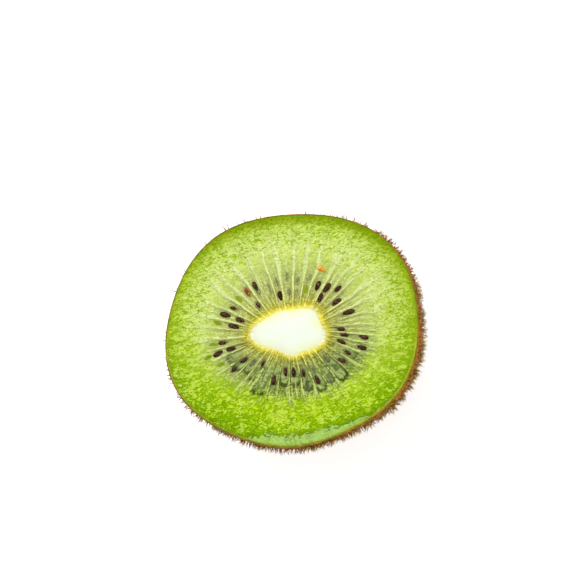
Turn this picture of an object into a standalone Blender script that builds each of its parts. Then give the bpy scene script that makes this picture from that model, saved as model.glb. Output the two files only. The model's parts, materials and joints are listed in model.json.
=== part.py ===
"""Half of a kiwi fruit, cut across its middle, resting on its blossom end with the cut face up.

Run it with: blender --background --python part.py, or from Blender's text editor. Metres, +Z up.
The origin is on the surface that the fruit rests on, under the middle of the fruit.
The longer diameter of the cut face lies within a few degrees of X.
"""

import math
import random

import bmesh
import bpy
from mathutils import Matrix, Vector

MM = 0.001

# Driving dimensions of the fruit
MEAN_RADIUS = 26.2 * MM  # of the cut face, with the skin
HALF_HEIGHT = 33.0 * MM  # from the rest spot up to the cut
EQUATOR_DEPTH = 4.0 * MM  # the fruit is widest this far below the cut
REST_RADIUS = 6.0 * MM  # flat spot at the blossom end
BARREL_POWER = 2.3  # 2 is an ellipsoid, and more is a fuller barrel
RIM_DROP = 0.45 * MM  # how far the cut edge of the skin lies below the flesh
RIM_WIDTH = 0.7 * MM

# Outlines as waves round the middle: (lobes, share of the mean radius, where one lobe points in degrees)
RIM_WAVES = ((2, 0.053, 6.0), (4, 0.012, 32.0), (5, 0.0115, -27.0), (6, 0.005, 21.0))
CORE_WAVES = ((2, 0.24, -5.5), (3, 0.07, 55.0), (4, 0.045, -3.0), (5, 0.05, -31.5))
RIM_FLATNESS = 0.90  # short over long, for spreading the rays round the rim
CORE_FLATNESS = 0.62

# The pale core, a tapered column that ends inside the fruit
CORE_RADIUS = 5.8 * MM
CORE_CENTRE = Vector((-0.2 * MM, -0.5 * MM))
CORE_DEPTH = 24.0 * MM
CORE_TIP_SHARE = 0.30  # of the radius at the cut
CORE_TAPER_POWER = 1.6  # 1 is a straight cone, and more keeps the column full near the cut
CORE_CROWN = 0.30 * MM  # the core stands this proud in its middle
CORE_GAP = 0.3 * MM  # clearance between the core and the flesh

# The ring of locules, the seed chambers between the pale rays
LOCULES = 38
LOCULE_TURN = -0.25  # of a locule, so that the chambers fall where the seeds are
LOCULE_SINK = 0.35 * MM
LOCULE_SPAN = (0.02, 0.14, 0.36, 0.62)  # shares of the way to the rim: start, full depth, fading, end

# Uneven growth: the skin swells and hollows a little between the cut and the blossom end
SWELL_SHARE = 0.012
SWELL_LOBES = 3
SWELL_TWIST = 2.4
WAVE_FADE = 0.75  # how much of the rim's outline has faded at the rest spot
WAVE_FADE_START = 0.2  # of the way down the skin

# A seed is a flattened drop with its point towards the core
SEED_LENGTH = 2.4 * MM
SEED_WIDTH = 1.25 * MM
SEED_THICKNESS = 1.0 * MM
SEED_PINCH = 0.35
SEED_LIFT = 0.08 * MM  # middle of a shown seed above the floor of its locule

# Rows of seeds, each at its share of the way from the core to the rim. Each letter stands for one
# locule, counted from +X towards +Y: s is a seed that shows at the cut and a dot is none.
SEED_ROWS = (
    (0.16, ".....s....s..........................."),
    (0.2, "................s.......s..sss.....s.."),
    (0.245, "...s..s..........s....s..............."),
    (0.29, ".....s..............s................."),
    (0.335, ".s..s........s............s...s......."),
    (0.38, "................s.....s..............."),
    (0.43, "....................s..............ss."),
)
SEED_SCATTER_WAY = 0.01  # of the way to the rim
SEED_SCATTER_SIDE = 0.1  # of a locule
SEED_SCATTER_TURN = 14.0  # degrees
SCATTER_DRAW = 7

# How finely the solids are faceted
FACETS_PER_LOCULE = 3
FACE_SHARES = (0.0, 0.06, 0.14, 0.22, 0.30, 0.38, 0.47, 0.56, 0.68, 0.82, 0.93)
DOME_BANDS = 13
POCKET_BANDS = 5
CORE_BANDS = 7
CORE_TOP_SHARES = (0.28, 0.62)
SEED_SIDES = 6
SEED_BANDS = 4
SHARP_ANGLE = 40.0  # degrees, past which an edge stays sharp

# Linear colours with their roughness
FLESH_FINISH = ((0.42, 0.62, 0.09, 1.0), 0.35)
SKIN_FINISH = ((0.30, 0.13, 0.035, 1.0), 0.85)
SEED_FINISH = ((0.022, 0.012, 0.012, 1.0), 0.30)
CORE_FINISH = ((0.93, 0.94, 0.78, 1.0), 0.45)
SKIN_SLOT = 1  # place among the flesh's three materials
SEED_SLOT = 2


def smooth_step(value, start, end):
    """0 at start and 1 at end, with no corner at either."""
    t = min(1.0, max(0.0, (value - start) / (end - start)))
    return t * t * (3.0 - 2.0 * t)


def wavy(radius, waves, angle, strength=1.0):
    """The radius of a wavy outline in the direction of angle."""
    swing = sum(share * math.cos(lobes * (angle - math.radians(at))) for lobes, share, at in waves)
    return radius * (1.0 + strength * swing)


def towards(angle, length):
    return Vector((math.cos(angle), math.sin(angle))) * length


def at_height(point, height):
    return Vector((point.x, point.y, height))


def rim_direction(turn):
    return math.atan2(RIM_FLATNESS * math.sin(turn), math.cos(turn))


def core_direction(turn):
    return math.atan2(CORE_FLATNESS * math.sin(turn), math.cos(turn))


def core_edge(turn, grow=0.0, share=1.0):
    """A point of the core's outline, scaled by share and grown outwards by grow."""
    angle = core_direction(turn)
    return CORE_CENTRE + towards(angle, wavy(CORE_RADIUS, CORE_WAVES, angle) * share + grow)


def face_point(share, turn):
    """A point of the cut face in plan: share 0 is the edge of the core and 1 the rim of the fruit."""
    angle = rim_direction(turn)
    rim = towards(angle, wavy(MEAN_RADIUS, RIM_WAVES, angle))
    return core_edge(turn, CORE_GAP).lerp(rim, share)


def locule_floor(share):
    """How far a locule is sunk at this share of the way to the rim."""
    start, full, fading, end = LOCULE_SPAN
    return LOCULE_SINK * smooth_step(share, start, full) * (1.0 - smooth_step(share, fading, end))


def turn_of(locule):
    """The turn at the middle of a locule; half a locule on either side is a ray."""
    return math.tau * (locule + 0.5 + LOCULE_TURN) / LOCULES


def ring_turns():
    count = LOCULES * FACETS_PER_LOCULE
    return [turn_of(step / FACETS_PER_LOCULE - 0.5) for step in range(count)]


def face_rings():
    """Rings of the flesh's cut face, from the pocket's mouth to where the flesh rounds over at the skin."""
    rings = []
    for share in FACE_SHARES:
        ring = []
        for step, turn in enumerate(ring_turns()):
            on_ray = step % FACETS_PER_LOCULE == 0
            height = HALF_HEIGHT - (0.0 if on_ray else locule_floor(share))
            ring.append(at_height(face_point(share, turn), height))
        rings.append(ring)
    rims = [face_point(1.0, turn) for turn in ring_turns()]
    rings.append([at_height(rim - rim.normalized() * RIM_WIDTH, HALF_HEIGHT) for rim in rims])
    return rings


def skin_profile():
    """(share of the way, radius, height) of each ring of the skin, down a barrel curve to the rest spot."""
    power = 2.0 / BARREL_POWER
    last = math.acos((REST_RADIUS / MEAN_RADIUS) ** (1.0 / power))
    depth = (HALF_HEIGHT - EQUATOR_DEPTH) / math.sin(last) ** power
    first = -math.asin((EQUATOR_DEPTH / depth) ** (1.0 / power))
    width = MEAN_RADIUS / math.cos(first) ** power
    profile = []
    for band in range(DOME_BANDS + 1):
        along = band / DOME_BANDS
        angle = first + (last - first) * along
        drop = math.copysign(abs(math.sin(angle)) ** power, angle) * depth
        profile.append((along, width * math.cos(angle) ** power, HALF_HEIGHT - EQUATOR_DEPTH - drop))
    return profile


def dome_rings():
    """Rings of the skin, from its cut edge down to the rest spot."""
    rings = []
    for along, radius, height in skin_profile():
        strength = 1.0 - WAVE_FADE * smooth_step(along, WAVE_FADE_START, 1.0)
        ring = []
        for turn in ring_turns():
            angle = rim_direction(turn)
            swell = math.cos(SWELL_LOBES * angle + SWELL_TWIST * along) * math.sin(math.pi * along)
            reach = wavy(radius, RIM_WAVES, angle, strength) * (1.0 + SWELL_SHARE * swell)
            ring.append(at_height(towards(angle, reach), height))
        rings.append(ring)
    for point in rings[0]:
        point.z -= RIM_DROP
    for point in rings[-1]:
        point.z = 0.0
    return rings


def column_rings(turns, bands, top, depth, grow):
    """Rings of the core's column, or of the pocket round it, from the top down."""
    rings = []
    for band in range(bands + 1):
        down = band / bands
        share = 1.0 - (1.0 - CORE_TIP_SHARE) * down**CORE_TAPER_POWER
        rings.append([at_height(core_edge(turn, grow, share), top - depth * down) for turn in turns])
    return rings


def closed_loft(name, rings, first_cap, last_cap, skin_bands=0):
    """A closed mesh through the rings, with a fan to a middle point at each end.

    The last skin_bands bands, and the fan after them, get the skin's material.
    """
    mesh = bmesh.new()
    loops = [[mesh.verts.new(point) for point in ring] for ring in rings]
    count = len(rings[0])
    skin = []
    for band, (inner, outer) in enumerate(zip(loops, loops[1:])):
        for step in range(count):
            after = (step + 1) % count
            face = mesh.faces.new((inner[step], outer[step], outer[after], inner[after]))
            if band >= len(loops) - 1 - skin_bands:
                skin.append(face)
    for loop, cap in ((loops[0], first_cap), (loops[-1], last_cap)):
        middle = mesh.verts.new(cap)
        fan = [mesh.faces.new((loop[step], loop[(step + 1) % count], middle)) for step in range(count)]
    if skin:
        for face in skin + fan:
            face.material_index = SKIN_SLOT
    bmesh.ops.recalc_face_normals(mesh, faces=mesh.faces)
    data = bpy.data.meshes.new(name)
    mesh.to_mesh(data)
    mesh.free()
    made = bpy.data.objects.new(name, data)
    bpy.context.scene.collection.objects.link(made)
    return made


def scattered_seeds():
    """(share of the way to the rim, turn round the fruit, turn on the spot) of each seed that shows."""
    draw = random.Random(SCATTER_DRAW)
    found = []
    for share, letters in SEED_ROWS:
        for locule, letter in enumerate(letters):
            place = share + draw.uniform(-SEED_SCATTER_WAY, SEED_SCATTER_WAY)
            turn = turn_of(locule + draw.uniform(-SEED_SCATTER_SIDE, SEED_SCATTER_SIDE))
            spin = math.radians(draw.uniform(-SEED_SCATTER_TURN, SEED_SCATTER_TURN))
            if letter == "s":
                found.append((place, turn, spin))
    return found


def make_seed(name, share, turn, spin):
    """One drop-shaped seed, lying in its locule along the rays."""
    mesh = bmesh.new()
    bmesh.ops.create_uvsphere(mesh, u_segments=SEED_SIDES, v_segments=SEED_BANDS, radius=1.0)
    bmesh.ops.rotate(mesh, verts=mesh.verts, matrix=Matrix.Rotation(math.pi / 2.0, 3, "Y"))
    for vert in mesh.verts:
        slim = min(1.0, 1.0 + SEED_PINCH * vert.co.x)
        half_sizes = Vector((SEED_LENGTH, SEED_WIDTH * slim, SEED_THICKNESS * slim)) / 2.0
        vert.co = vert.co * half_sizes
    for face in mesh.faces:
        face.material_index = SEED_SLOT
    data = bpy.data.meshes.new(name)
    mesh.to_mesh(data)
    mesh.free()
    seed = bpy.data.objects.new(name, data)
    place = face_point(share, turn)
    outwards = place - core_edge(turn)
    heading = math.atan2(outwards.y, outwards.x) + spin
    middle = at_height(place, HALF_HEIGHT - locule_floor(share) + SEED_LIFT)
    seed.matrix_world = Matrix.Translation(middle) @ Matrix.Rotation(heading, 4, "Z")
    return seed


def fuse_seeds(flesh):
    """Joins the seeds that show to the flesh, as one solid."""
    seeds = bpy.data.collections.new("seeds")
    bpy.context.scene.collection.children.link(seeds)
    for number, (share, turn, spin) in enumerate(scattered_seeds()):
        seeds.objects.link(make_seed(f"seed_{number:02d}", share, turn, spin))
    join = flesh.modifiers.new("seeds", "BOOLEAN")
    join.operation = "UNION"
    join.operand_type = "COLLECTION"
    join.collection = seeds
    join.solver = "EXACT"
    bpy.context.view_layer.objects.active = flesh
    bpy.context.view_layer.update()
    bpy.ops.object.modifier_apply(modifier=join.name)
    for seed in list(seeds.objects):
        bpy.data.objects.remove(seed)
    bpy.data.collections.remove(seeds)


def make_flesh():
    """The green flesh in its skin, with the pocket that the core fills."""
    pocket_depth = CORE_DEPTH + CORE_GAP
    pocket = column_rings(ring_turns(), POCKET_BANDS, HALF_HEIGHT, pocket_depth, CORE_GAP)
    pocket_floor = at_height(CORE_CENTRE, HALF_HEIGHT - pocket_depth)
    rest_spot = Vector((0.0, 0.0, 0.0))
    rings = pocket[:0:-1] + face_rings() + dome_rings()
    flesh = closed_loft("flesh", rings, pocket_floor, rest_spot, skin_bands=DOME_BANDS)
    fuse_seeds(flesh)
    return flesh


def make_core():
    """The pale core: a tapered column with a slightly crowned top."""
    turns = ring_turns()[::2]
    column = column_rings(turns, CORE_BANDS, HALF_HEIGHT, CORE_DEPTH, 0.0)
    top = []
    for share in CORE_TOP_SHARES:
        height = HALF_HEIGHT + CORE_CROWN * (1.0 - share * share)
        top.append([at_height(core_edge(turn, 0.0, share), height) for turn in turns])
    crown = at_height(CORE_CENTRE, HALF_HEIGHT + CORE_CROWN)
    tip = at_height(CORE_CENTRE, HALF_HEIGHT - CORE_DEPTH)
    return closed_loft("core", top + column, crown, tip)


def finish(made, finishes):
    """Gives a solid its materials, and smooth shading with sharp cut edges."""
    for name, (colour, roughness) in finishes.items():
        material = bpy.data.materials.new(name)
        material.use_nodes = True
        shader = material.node_tree.nodes["Principled BSDF"]
        shader.inputs["Base Color"].default_value = colour
        shader.inputs["Roughness"].default_value = roughness
        made.data.materials.append(material)
    made.data.shade_smooth()
    made.data.set_sharp_from_angle(angle=math.radians(SHARP_ANGLE))


def centre_over_origin(solids):
    """Moves the solids so that the middle of the widest one stands over the origin."""
    corners = [vert.co for vert in solids[0].data.vertices]
    middle_x = (min(c.x for c in corners) + max(c.x for c in corners)) / 2.0
    middle_y = (min(c.y for c in corners) + max(c.y for c in corners)) / 2.0
    for solid in solids:
        solid.data.transform(Matrix.Translation((-middle_x, -middle_y, 0.0)))


for old in list(bpy.data.objects):
    bpy.data.objects.remove(old)
flesh = make_flesh()
core = make_core()
centre_over_origin([flesh, core])
finish(flesh, {"flesh": FLESH_FINISH, "skin": SKIN_FINISH, "seed": SEED_FINISH})
finish(core, {"core": CORE_FINISH})
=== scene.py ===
# %% [markdown]
# Half a kiwi fruit.
#
# A kiwi fruit cut across its middle shows three tissues: a pale core, a ring of seed chambers between
# thin pale rays, and a green outer flesh that is wet and finely grained. A thin furry skin holds them.
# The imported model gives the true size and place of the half. This lesson dresses it, piece by piece,
# and every piece is worked out from the same few sizes, so that all of them fit each other.

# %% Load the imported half
import json
import math
import random
from contextlib import contextmanager
from functools import partial

import bpy
import numpy as np
from mathutils import Matrix, Vector, noise

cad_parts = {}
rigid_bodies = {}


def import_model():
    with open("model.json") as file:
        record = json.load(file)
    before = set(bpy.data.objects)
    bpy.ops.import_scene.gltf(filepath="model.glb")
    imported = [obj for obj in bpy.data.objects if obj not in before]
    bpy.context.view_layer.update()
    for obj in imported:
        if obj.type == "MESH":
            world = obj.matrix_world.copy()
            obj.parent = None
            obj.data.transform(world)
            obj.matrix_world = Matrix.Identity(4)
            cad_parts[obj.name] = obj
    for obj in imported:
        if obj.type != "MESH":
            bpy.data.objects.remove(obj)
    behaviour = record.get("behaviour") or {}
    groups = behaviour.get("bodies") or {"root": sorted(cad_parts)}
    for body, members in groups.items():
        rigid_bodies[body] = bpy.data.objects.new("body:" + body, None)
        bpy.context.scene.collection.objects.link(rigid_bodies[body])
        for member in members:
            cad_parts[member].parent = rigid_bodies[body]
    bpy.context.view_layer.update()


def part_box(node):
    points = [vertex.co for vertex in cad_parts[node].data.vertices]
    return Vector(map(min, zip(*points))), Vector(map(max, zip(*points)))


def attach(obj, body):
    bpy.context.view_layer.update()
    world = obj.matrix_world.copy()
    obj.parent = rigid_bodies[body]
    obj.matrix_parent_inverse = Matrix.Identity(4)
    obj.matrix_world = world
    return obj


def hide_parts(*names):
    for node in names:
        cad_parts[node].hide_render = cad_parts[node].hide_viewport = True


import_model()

# %% [markdown]
# The sizes of the fruit. Its outline is a circle with a few soft waves added: two lobes make it oval,
# and four, five and six lobes make it as uneven as a grown thing is. The core has waves of its own.
# A wave is given by its lobes, its share of the radius and its direction in degrees.

# %% Sizes of the fruit
MM = 0.001
MEAN_RADIUS = 26.2 * MM
HALF_HEIGHT = 33.0 * MM
EQUATOR_DEPTH = 4.0 * MM
REST_RADIUS = 6.0 * MM
BARREL_POWER = 2.3
RIM_DROP = 0.45 * MM
RIM_WIDTH = 0.7 * MM
SKIN_THICKNESS = 0.24 * MM
RIM_WAVES = ((2, 0.053, 6.0), (4, 0.012, 32.0), (5, 0.0115, -27.0), (6, 0.005, 21.0))
RIM_FLATNESS = 0.90
WAVE_FADE = 0.75
WAVE_FADE_START = 0.2
SWELL_SHARE = 0.012
SWELL_LOBES = 3
SWELL_TWIST = 2.4

CORE_RADIUS = 5.8 * MM
CORE_CENTRE = (-0.2 * MM, -0.5 * MM)
CORE_WAVES = ((2, 0.24, -5.5), (3, 0.07, 55.0), (4, 0.045, -3.0), (5, 0.05, -31.5))
CORE_FLATNESS = 0.62
CORE_DEPTH = 24.0 * MM
CORE_TIP_SHARE = 0.30
CORE_TAPER_POWER = 1.6
CORE_CROWN = 0.30 * MM
CORE_GAP = 0.3 * MM

LOCULES = 38  # the seed chambers
LOCULE_TURN = -0.25
LOCULE_SINK = 0.35 * MM
LOCULE_SPAN = (0.02, 0.14, 0.36, 0.62)  # where the chambers sink, are deep, rise and end

# %% [markdown]
# The cut face gets its own map. A point is named by its turn, counted in seed chambers, and by its
# share of the way from the edge of the core, 0, to the rim of the fruit, 1. Rays, chambers, seeds and
# colours all follow the growth of the fruit when they are placed by this map, and it is uneven where
# the fruit is.

# %% The map of the cut face
CORE_STEP = 2.0 / 3.0  # of a chamber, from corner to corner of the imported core


def smooth_step(value, start, end):
    t = np.clip((value - start) / (end - start), 0.0, 1.0)
    return t * t * (3.0 - 2.0 * t)


def plateau(value, start, full, fading, end):
    """0 up to start, 1 from full to fading, and 0 again from end."""
    return smooth_step(value, start, full) * (1.0 - smooth_step(value, fading, end))


def wavy(radius, waves, angle, strength=1.0):
    swing = sum(share * np.cos(lobes * (angle - math.radians(at))) for lobes, share, at in waves)
    return radius * (1.0 + strength * swing)


def turn_of(locule):
    return math.tau * (np.asarray(locule) + LOCULE_TURN) / LOCULES


def core_point(turn, grow=0.0, share=1.0):
    angle = np.arctan2(CORE_FLATNESS * np.sin(turn), np.cos(turn))
    reach = wavy(CORE_RADIUS, CORE_WAVES, angle) * share + grow
    return np.stack([CORE_CENTRE[0] + reach * np.cos(angle), CORE_CENTRE[1] + reach * np.sin(angle)], -1)


def rim_point(turn, radius=MEAN_RADIUS, along=0.0, grow=0.0):
    """A point of the skin, where along counts from the cut, 0, down to the rest spot, 1."""
    angle = np.arctan2(RIM_FLATNESS * np.sin(turn), np.cos(turn))
    strength = 1.0 - WAVE_FADE * smooth_step(along, WAVE_FADE_START, 1.0)
    swell = np.cos(SWELL_LOBES * angle + SWELL_TWIST * along) * math.sin(math.pi * along)
    reach = wavy(radius, RIM_WAVES, angle, strength) * (1.0 + SWELL_SHARE * swell) + grow
    return np.stack([reach * np.cos(angle), reach * np.sin(angle)], -1)


def face_point(share, turn):
    share = np.asarray(share)[..., None]
    return core_point(turn, CORE_GAP) * (1.0 - share) + rim_point(turn) * share


low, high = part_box("core")
outline = core_point(turn_of(np.arange(0.0, LOCULES, CORE_STEP)))
SHIFT = np.array([(low.x + high.x) / 2.0, (low.y + high.y) / 2.0]) - (outline.min(0) + outline.max(0)) / 2.0
print("the packed half stands", (1000 * SHIFT).round(3), "mm from the middle of its waves")

# %% [markdown]
# The camera looks down on the cut face, a little from one side, so that the skin shows along the
# lower right of the picture. Its place is worked out from what the picture shows: how many pixels a
# millimetre takes, where the middle of the cut face is, how far the face leans away, and how far the
# long diameter of the fruit is turned in the picture.

# %% Camera
PICTURE = 568
PIXELS_PER_MM = 4.73
FACE_PIXEL = (291.3, 328.7)
LEAN = math.radians(11.0)
LEAN_DIRECTION = math.radians(-35.0)
LONG_DIRECTION = math.radians(7.8)
CAMERA_DISTANCE = 450.0 * MM
SENSOR = 36.0


def picture_way(angle):
    """The way in the fruit's own frame that points at this angle from the right of the picture."""
    return Vector((math.cos(angle - LONG_DIRECTION), math.sin(angle - LONG_DIRECTION)))


def in_scene(name, data):
    thing = bpy.data.objects.new(name, data)
    bpy.context.scene.collection.objects.link(thing)
    return thing


def set_up(thing, **settings):
    for name, value in settings.items():
        setattr(thing, name, value)
    return thing


towards_skin = picture_way(LEAN_DIRECTION).to_3d()
back = Vector((0.0, 0.0, math.cos(LEAN))) + towards_skin * math.sin(LEAN)
across = (towards_skin - back * towards_skin.dot(back)).normalized()
beside = back.cross(across)
right = across * math.cos(LEAN_DIRECTION) - beside * math.sin(LEAN_DIRECTION)
up = across * math.sin(LEAN_DIRECTION) + beside * math.cos(LEAN_DIRECTION)
off_right, off_down = ((pixel - PICTURE / 2.0) / PIXELS_PER_MM * MM for pixel in FACE_PIXEL)
aim = Vector((*SHIFT, HALF_HEIGHT)) - right * off_right + up * off_down

lens = PIXELS_PER_MM * CAMERA_DISTANCE / MM * SENSOR / PICTURE
camera_data = set_up(bpy.data.cameras.new("camera"), sensor_width=SENSOR, lens=lens, clip_start=0.01)
camera = in_scene("camera", camera_data)
turned = Matrix((right, up, back)).transposed().to_4x4()
camera.matrix_world = Matrix.Translation(aim + back * CAMERA_DISTANCE) @ turned
bpy.context.scene.camera = camera
print("the lens is", round(lens, 1), "mm")

# %% [markdown]
# Modelling by hand comes down to a few moves that are made over and over: pick some pieces, edit one
# with all of it selected, apply a modifier, and read or move its points. Each gets a helper here.

# %% Helpers for modelling
def pick(*pieces):
    """Selects these pieces alone and makes the first of them active."""
    bpy.ops.object.select_all(action="DESELECT")
    for piece in pieces:
        piece.select_set(True)
    if pieces:
        bpy.context.view_layer.objects.active = pieces[0]


def named(name):
    """The active object, once it and its mesh have this name."""
    piece = bpy.context.object
    piece.name = piece.data.name = name
    return piece


@contextmanager
def editing():
    """Edit mode for the active object, with all of it selected."""
    bpy.ops.object.mode_set(mode="EDIT")
    bpy.ops.mesh.select_all(action="SELECT")
    yield
    bpy.ops.object.mode_set(mode="OBJECT")


def add_modifier(piece, kind, **settings):
    """Adds a modifier to a piece and applies it."""
    modifier = set_up(piece.modifiers.new(kind.lower(), kind), **settings)
    pick(piece)
    bpy.ops.object.modifier_apply(modifier=modifier.name)


def read(items, field, width=3, kind=np.float32):
    """One row of numbers for each vertex or corner of a mesh."""
    values = np.zeros(len(items) * width, kind)
    items.foreach_get(field, values)
    return values.reshape(-1, width)


def vertex_places(piece):
    return read(piece.data.vertices, "co").astype(float)


def set_places(piece, places):
    piece.data.vertices.foreach_set("co", places.astype(np.float32).ravel())
    piece.data.update()


def corner_vertices(piece):
    return read(piece.data.loops, "vertex_index", 1, np.int32)[:, 0]


# %% [markdown]
# Flesh, core and skin are all skins of revolution with an uneven outline. One way to make such a skin
# is to spin a profile, but a spun profile is round. Here a flat grid is rolled up instead: each of its
# rows becomes a ring, which a rule places, its ends meet at a seam that is merged, and rows that
# shrink to one point close the body. The grid brings a UV map along, which then holds two numbers of
# each point for the materials, on the flesh and the core those of the map of the cut face.

# %% Rolling a grid into a body
SEAM = 1e-7


def ring(plan, height, locule, share):
    """Points of the plan, set at a height, and the two numbers that they have on the map."""
    return np.stack(np.broadcast_arrays(*(plan + SHIFT).T, height, locule, share), -1)


def rolled(name, rings):
    """A body through rings. It is closed where the first or the last ring is a single point."""
    rings = np.array(rings)
    rows, columns = rings.shape[0] - 1, rings.shape[1] - 1
    pick()
    bpy.ops.mesh.primitive_grid_add(x_subdivisions=columns, y_subdivisions=rows, size=1.0)
    piece = named(name)
    places = vertex_places(piece)
    column = np.rint((places[:, 0] + 0.5) * columns).astype(int)
    row = np.rint((places[:, 1] + 0.5) * rows).astype(int)
    set_places(piece, rings[row, column, :3])
    corners = corner_vertices(piece)
    on_map = rings[row[corners], column[corners], 3:]
    piece.data.uv_layers.active.data.foreach_set("uv", on_map.astype(np.float32).ravel())
    with editing():
        bpy.ops.mesh.remove_doubles(threshold=SEAM)
        bpy.ops.mesh.normals_make_consistent(inside=False)
    bpy.ops.object.shade_smooth()
    print(name, "has", len(piece.data.polygons), "faces")
    return piece


# %% [markdown]
# The profile of the skin is part of a superellipse, a barrel curve: fuller than an ellipse, widest
# a little below the cut, and flattened where the half rests. Its depth is worked out so that it ends
# exactly at the edge of the rest spot.

# %% Profile of the skin
def skin_profile(bands):
    """(along, radius, height) for each ring of the skin, from the cut down to the rest spot."""
    power = 2.0 / BARREL_POWER
    last = math.acos((REST_RADIUS / MEAN_RADIUS) ** (1.0 / power))
    depth = (HALF_HEIGHT - EQUATOR_DEPTH) / math.sin(last) ** power
    first = -math.asin((EQUATOR_DEPTH / depth) ** (1.0 / power))
    width = MEAN_RADIUS / math.cos(first) ** power
    along = np.linspace(0.0, 1.0, bands + 1)
    angle = first + (last - first) * along
    drop = np.copysign(np.abs(np.sin(angle)) ** power, angle) * depth
    height = np.maximum(HALF_HEIGHT - EQUATOR_DEPTH - drop, 0.0)
    return list(zip(along, width * np.cos(angle) ** power, height))


print("the half is widest at", round(max(radius for _, radius, _ in skin_profile(40)) / MM, 2), "mm radius")

# %% [markdown]
# The green flesh.
#
# The knife leaves a wet face with low relief. The rays are firm and stand a third of a millimetre
# above the soft chambers between them, and further out the flesh is a fine grain of juicy cells.
# The rays also waver a little on their way out, so the map itself is made to waver, and the relief
# and the colours then follow the same lines.

# %% Wavering of the rays
WAVER = 0.22
WAVER_SIZE = 5.0 * MM
CROWDING = 0.15
RAY_WALL = (0.12, 0.55)  # where a chamber's wall starts and ends, from a ray to the chamber's middle

ray_draw = random.Random(3)
ray_places = [ray + ray_draw.uniform(-CROWDING, CROWDING) for ray in range(LOCULES)]
ray_places.append(ray_places[0] + LOCULES)


def crowded(locule):
    """The chart's count of chambers, in which the rays are whole numbers although they stand unevenly."""
    wrapped = (locule - ray_places[0]) % LOCULES + ray_places[0]
    whole = np.round((locule - wrapped) / LOCULES) * LOCULES
    return np.interp(wrapped, ray_places, range(LOCULES + 1)) + whole


def waver(points, share):
    """How far the rays stray sideways at these points, in chambers."""
    stray = np.array([noise.noise(Vector((x, y, 0.0)) / WAVER_SIZE) for x, y in points.reshape(-1, 2)])
    return WAVER * smooth_step(share, 0.05, 0.5) * stray.reshape(points.shape[:-1])


def chamber_depth(locule, share):
    """How far the chambers are sunk below the rays."""
    hollow = smooth_step(2.0 * np.abs(locule - np.rint(locule)), *RAY_WALL)
    return LOCULE_SINK * hollow * plateau(share, *LOCULE_SPAN)


# %% [markdown]
# The flesh is rolled from the pocket for the core, up to the cut, out across the face and down inside
# the skin. It reaches a hair's breadth into the skin, so that no gap shows between them.

# %% Flesh body
COLUMNS = LOCULES * 16
FACE_ROWS = 118
FACE_START = -0.04  # a little under the core's edge
POCKET_ROWS = 5
UNDER_ROWS = 12
FLESH_REACH = 0.02 * MM
FACE_WIDTH = MEAN_RADIUS - CORE_RADIUS

locules = np.linspace(0.0, LOCULES, COLUMNS + 1)
turns = turn_of(locules)
inside_skin = SKIN_THICKNESS - FLESH_REACH


def core_width(climb):
    """The width of the core, from its tip, where climb is 0, to the cut, where it is 1."""
    return 1.0 - (1.0 - CORE_TIP_SHARE) * (1.0 - climb) ** CORE_TAPER_POWER


rings = []
for step in range(POCKET_ROWS):
    climb = step / POCKET_ROWS
    width = core_width(climb) if step else 0.0
    depth = CORE_DEPTH * (1.0 - climb) + CORE_GAP
    rings.append(ring(core_point(turns, 0.0, width), HALF_HEIGHT - depth, locules, 0.0))
for share in np.linspace(FACE_START, 1.0 - inside_skin / FACE_WIDTH, FACE_ROWS + 1):
    plan = face_point(share, turns)
    strayed = crowded(locules) + waver(plan, share)
    rounding = RIM_DROP * smooth_step(share, 1.0 - 1.3 * RIM_WIDTH / FACE_WIDTH, 1.0)
    rings.append(ring(plan, HALF_HEIGHT - chamber_depth(strayed, share) - rounding, strayed, share))
for along, radius, height in skin_profile(UNDER_ROWS)[1:]:
    plan = rim_point(turns, radius, along, -inside_skin)
    rings.append(ring(plan, height + inside_skin * along, locules, 1.0))
rings.append(ring(0.0 * plan, inside_skin, locules, 1.0))
flesh = rolled("flesh_body", rings)

# %% [markdown]
# The grain of the outer flesh is too fine and too irregular to model cell by cell. Displace modifiers
# with clouds of two sizes raise and lower the face by about a tenth of a millimetre each, and a vertex
# group keeps them on the outer flesh and off the seed chambers and the skin's side.

# %% Grain of the flesh
GRAIN_RELIEF = ((1.1 * MM, 0.16 * MM), (3.2 * MM, 0.22 * MM))  # sizes and strengths
GRAIN_SPAN = (0.4, 0.6, 0.965, 0.995)  # where the relief starts, is full, fades and ends
FACE_DEPTH = 2.0 * MM  # below the cut, where the face ends


def weigh(piece, name, weights):
    """A vertex group whose weights are kept in steps of a tenth."""
    group = piece.vertex_groups.new(name=name)
    steps = np.rint(weights * 10).astype(int)
    for step in range(1, 11):
        group.add(np.flatnonzero(steps == step).tolist(), step / 10.0, "REPLACE")


def cloud_relief(piece, relief, group="", direction="Z"):
    """Displaces a piece by clouds, given as pairs of size and strength."""
    for size, strength in relief:
        clouds = bpy.data.textures.new(f"clouds_{size / MM:.1f}", "CLOUDS")
        set_up(clouds, noise_scale=size, noise_depth=2)
        place = {"texture": clouds, "texture_coords": "LOCAL", "vertex_group": group, "direction": direction}
        add_modifier(piece, "DISPLACE", strength=strength, mid_level=0.5, **place)


on_map = read(flesh.data.uv_layers.active.data, "uv", 2)
flesh_shares = np.zeros(len(flesh.data.vertices))
flesh_shares[corner_vertices(flesh)] = on_map[:, 1]
on_face = vertex_places(flesh)[:, 2] > HALF_HEIGHT - FACE_DEPTH
weigh(flesh, "outer_flesh", plateau(flesh_shares, *GRAIN_SPAN) * on_face)
cloud_relief(flesh, GRAIN_RELIEF, "outer_flesh")
print("the face's relief is", round(1000 * np.ptp(vertex_places(flesh)[on_face][:, 2]), 2), "mm deep")

# %% [markdown]
# The core.
#
# The core is a pale firm column, which tapers towards the blossom end. Only its top shows, a little
# crowned, and its edge is where the rays begin. It could be part of the flesh, but it is a piece of
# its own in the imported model, so it is rolled as its own closed body that just meets the flesh.

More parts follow.
